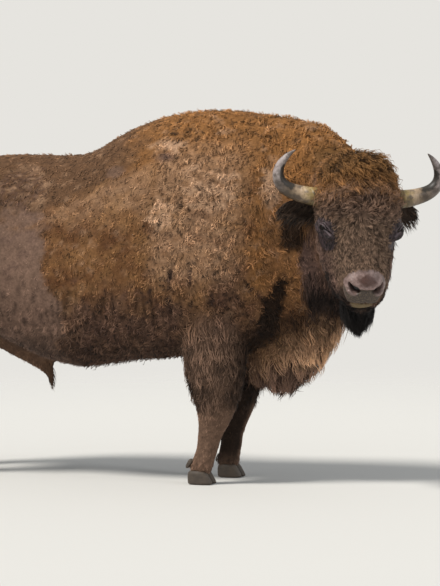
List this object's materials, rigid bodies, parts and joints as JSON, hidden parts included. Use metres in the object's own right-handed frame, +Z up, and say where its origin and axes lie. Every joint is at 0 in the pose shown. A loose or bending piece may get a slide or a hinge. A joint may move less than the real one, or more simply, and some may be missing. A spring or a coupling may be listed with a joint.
{
  "type": "european bison",
  "caption": "Life-size European bison bull standing with its head turned to its right, with a humped back, curved horns, a beard and a shaggy brisket.",
  "frame": {"origin": "on the ground under the middle of the bounding box", "axes": "+X the way the trunk faces, +Y to the animal's left, +Z up"},
  "size_m": [2.7822, 0.831, 1.7594],
  "materials": {
    "coat_rust": "matte",
    "coat_brown": "matte",
    "coat_dark": "matte",
    "nose": "satin",
    "horn": "satin",
    "claw": "satin",
    "eye": "gloss"
  },
  "bodies": {
    "root": {"hindquarters": "coat_brown", "barrel": "coat_rust", "forequarters": "coat_rust", "foreleg_right_lower": "coat_dark", "foreleg_right_upper": "coat_brown", "foreleg_right_hoof_inner": "claw", "foreleg_right_dewclaw_inner": "claw", "foreleg_right_hoof_outer": "claw", "foreleg_right_dewclaw_outer": "claw", "foreleg_left_lower": "coat_dark", "foreleg_left_upper": "coat_brown", "foreleg_left_hoof_inner": "claw", "foreleg_left_dewclaw_inner": "claw", "foreleg_left_hoof_outer": "claw", "foreleg_left_dewclaw_outer": "claw", "hindleg_right_lower": "coat_dark", "hindleg_right_upper": "coat_brown", "hindleg_right_hoof_inner": "claw", "hindleg_right_dewclaw_inner": "claw", "hindleg_right_hoof_outer": "claw", "hindleg_right_dewclaw_outer": "claw", "hindleg_left_lower": "coat_dark", "hindleg_left_upper": "coat_brown", "hindleg_left_hoof_inner": "claw", "hindleg_left_dewclaw_inner": "claw", "hindleg_left_hoof_outer": "claw", "hindleg_left_dewclaw_outer": "claw", "head": "coat_dark", "lower_jaw": "coat_dark", "nose_pad": "nose", "horn_right": "horn", "ear_right": "coat_dark", "eye_right": "eye", "horn_left": "horn", "ear_left": "coat_dark", "eye_left": "eye", "neck": "coat_rust", "beard": "coat_dark", "brisket_mane": "coat_rust", "tail": "coat_brown", "tail_tuft": "coat_dark", "sheath": "coat_dark", "scrotum": "coat_dark"}
  },
  "joints": []
}
